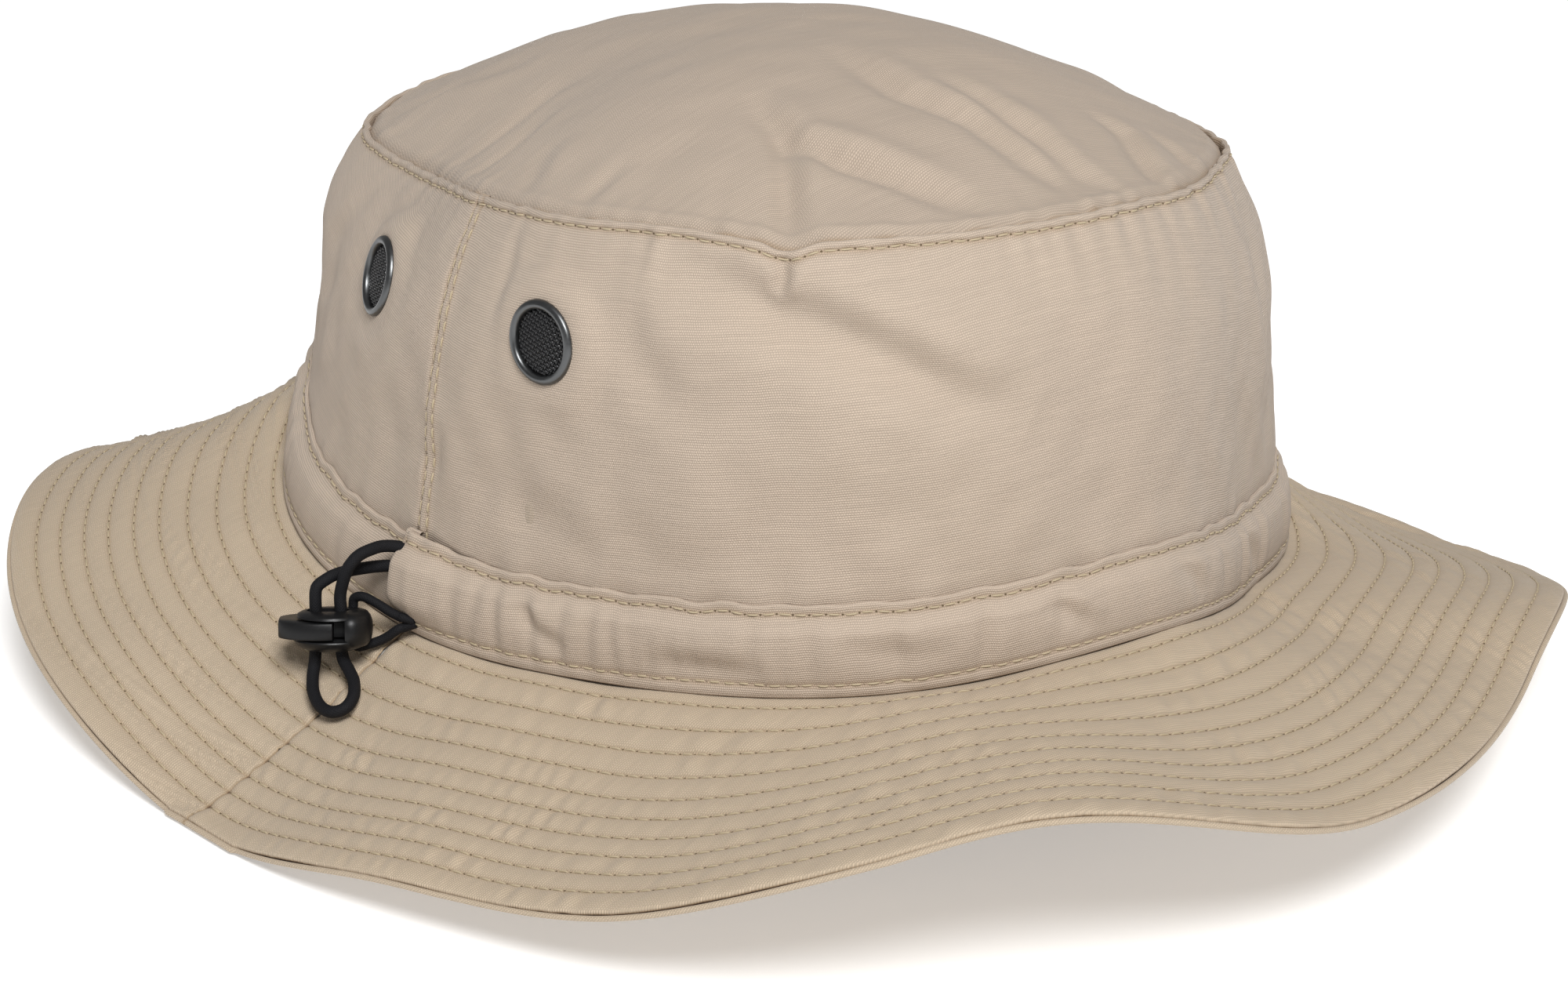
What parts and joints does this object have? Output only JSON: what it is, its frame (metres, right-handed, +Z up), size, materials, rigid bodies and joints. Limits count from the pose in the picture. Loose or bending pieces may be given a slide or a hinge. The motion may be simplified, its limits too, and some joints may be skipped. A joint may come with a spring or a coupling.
{
  "type": "boonie hat",
  "caption": "Soft cotton sun hat with a domed crown, mesh eyelets, a drawcord band with a spring cord lock, and a wavy stitched brim.",
  "frame": {"origin": "middle of the hat's outline, at the level it stands on", "axes": "+Z up; the hat's front faces -Y; the wearer's right side, with the cord lock, faces -X"},
  "size_m": [0.285, 0.3042, 0.1285],
  "materials": {
    "crown_cloth": "matte woven cotton",
    "band_cloth": "matte woven cotton",
    "brim_cloth": "matte woven cotton, row stitched",
    "lining_cloth": "matte woven cotton tape",
    "interlining": "stiff non-woven",
    "elastic_cord": "black braided elastic",
    "lock_plastic": "satin black moulded",
    "gunmetal": "dark polished plating",
    "eyelet_mesh": "black woven mesh",
    "spring_steel": "bright wire"
  },
  "bodies": {
    "hat": {"crown_top_panel": "crown_cloth", "crown_wall_front": "crown_cloth", "crown_wall_back": "crown_cloth", "sweatband": "lining_cloth", "crown_seam_tape": "lining_cloth", "side_seam_tape_right": "lining_cloth", "side_seam_tape_left": "lining_cloth", "eyelet_ring_right_front": "gunmetal", "eyelet_washer_right_front": "gunmetal", "eyelet_mesh_right_front": "eyelet_mesh", "eyelet_ring_right_back": "gunmetal", "eyelet_washer_right_back": "gunmetal", "eyelet_mesh_right_back": "eyelet_mesh", "eyelet_ring_left_front": "gunmetal", "eyelet_washer_left_front": "gunmetal", "eyelet_mesh_left_front": "eyelet_mesh", "eyelet_ring_left_back": "gunmetal", "eyelet_washer_left_back": "gunmetal", "eyelet_mesh_left_back": "eyelet_mesh", "band_front": "band_cloth", "band_back": "band_cloth", "brim_top_front": "brim_cloth", "brim_top_back": "brim_cloth", "brim_under_front": "brim_cloth", "brim_under_back": "brim_cloth", "brim_interlining": "interlining", "drawcord_loop": "elastic_cord", "drawcord_front_run": "elastic_cord", "drawcord_back_run": "elastic_cord", "lock_tether": "elastic_cord"},
    "cord_lock": {"lock_body": "lock_plastic", "lock_spring": "spring_steel"},
    "plunger": {"lock_plunger": "lock_plastic"}
  },
  "joints": [
    {"name": "lock_slide", "type": "slide", "parent": "hat", "child": "cord_lock", "axis": [0.124, 0.2, 0.9719], "range_m": [0, 0.003], "deforming": ["drawcord_loop", "lock_tether"]},
    {"name": "plunger_press", "type": "slide", "parent": "cord_lock", "child": "plunger", "axis": [0.7881, -0.615, 0.026], "range_m": [0, 0.0014], "stiffness_N_per_m": 900, "springref_m": -0.001, "deforming": ["lock_spring"]}
  ]
}
